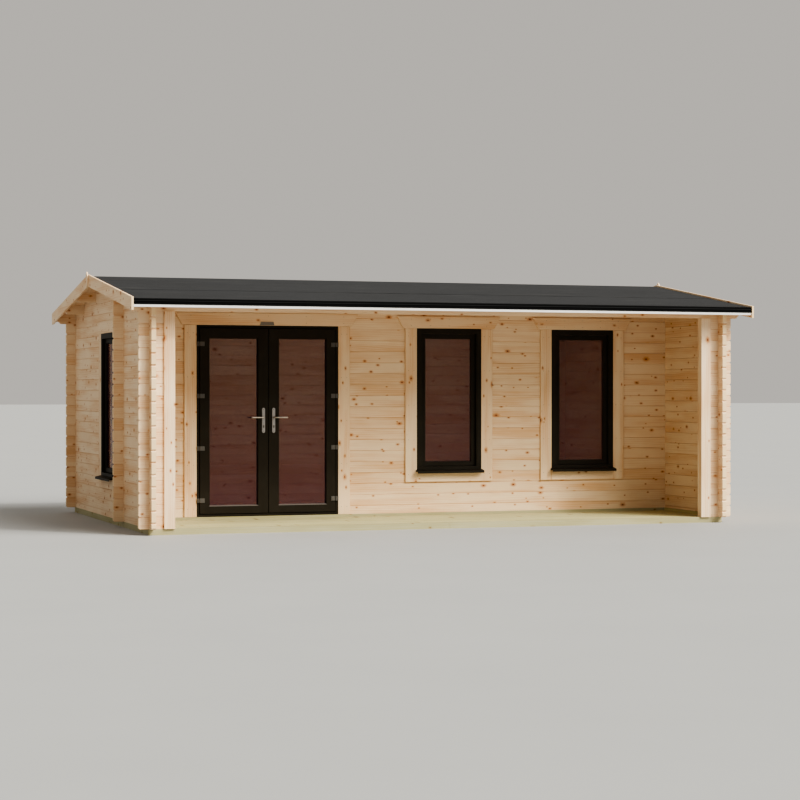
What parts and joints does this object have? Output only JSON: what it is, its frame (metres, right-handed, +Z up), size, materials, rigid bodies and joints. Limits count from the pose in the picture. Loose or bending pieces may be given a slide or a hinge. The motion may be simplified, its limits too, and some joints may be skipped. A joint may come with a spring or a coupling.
{
  "type": "log cabin",
  "caption": "Square-log garden cabin with an apex roof, a full-width recessed porch, outward-opening double doors and tall tinted windows.",
  "frame": {"origin": "on the ground under the ridge, midway between the gables", "axes": "+X along the ridge to the right seen from the porch, -Y the porch side, +Z up"},
  "size_m": [6.496, 4.43, 2.58],
  "materials": {
    "pine_logs": "planed, untreated spruce with knots",
    "planed_pine": "planed boards",
    "treated_timber": "pressure treated, greenish",
    "felt": "mineral roofing felt, matt",
    "white_trim": "satin white",
    "black_frame": "black foiled profile, satin",
    "tinted_glass": "brown tinted double glazing",
    "door_metal": "satin",
    "grey_plastic": "matt"
  },
  "bodies": {
    "cabin": {"front_base_beam": "treated_timber", "rear_base_beam": "treated_timber", "side_base_beams": "treated_timber", "floor_joists": "treated_timber", "porch_floor": "treated_timber", "porch_skirting": "treated_timber", "door_sill": "treated_timber", "room_floor": "pine_logs", "left_wall_front": "pine_logs", "left_wall_rear": "pine_logs", "left_wall_below_window": "pine_logs", "left_wall_gable": "pine_logs", "right_wall": "pine_logs", "left_stub_wall": "pine_logs", "right_stub_wall": "pine_logs", "porch_wall_left": "pine_logs", "porch_wall_middle": "pine_logs", "porch_wall_right": "pine_logs", "porch_wall_end": "pine_logs", "porch_wall_below_windows": "pine_logs", "porch_wall_top": "pine_logs", "rear_wall": "pine_logs", "front_eave_beam": "pine_logs", "rear_eave_beam": "pine_logs", "front_purlins": "pine_logs", "rear_purlins": "pine_logs", "front_roof_boards": "pine_logs", "rear_roof_boards": "pine_logs", "roof_felt": "felt", "front_eave_trim": "white_trim", "rear_eave_trim": "white_trim", "left_bargeboards": "planed_pine", "right_bargeboards": "planed_pine", "apex_covers": "planed_pine", "left_post": "planed_pine", "right_post": "planed_pine", "door_frame": "black_frame", "door_trim": "planed_pine", "door_head_plate": "grey_plastic", "left_porch_window": "black_frame", "right_porch_window": "black_frame", "side_window": "black_frame", "window_glass": "tinted_glass", "window_trims": "planed_pine"},
    "left_leaf": {"left_door_leaf": "black_frame", "left_door_glass": "tinted_glass", "left_door_fittings": "door_metal"},
    "right_leaf": {"right_door_leaf": "black_frame", "right_door_glass": "tinted_glass", "right_door_fittings": "door_metal"},
    "left_lever": {"left_door_lever": "door_metal"},
    "right_lever": {"right_door_lever": "door_metal"}
  },
  "joints": [
    {"name": "left_door_hinge", "type": "hinge", "parent": "cabin", "child": "left_leaf", "pos_m": [-2.2415, -0.764, 1], "axis": [0, 0, -1], "range_deg": [0, 100]},
    {"name": "right_door_hinge", "type": "hinge", "parent": "cabin", "child": "right_leaf", "pos_m": [-0.8045, -0.764, 1], "axis": [0, 0, 1], "range_deg": [0, 100]},
    {"name": "left_lever_turn", "type": "hinge", "parent": "left_leaf", "child": "left_lever", "pos_m": [-1.5765, -0.7635, 1.09], "axis": [0, -1, 0], "range_deg": [0, 40]},
    {"name": "right_lever_turn", "type": "hinge", "parent": "right_leaf", "child": "right_lever", "pos_m": [-1.4695, -0.7635, 1.09], "axis": [0, 1, 0], "range_deg": [0, 40]}
  ]
}
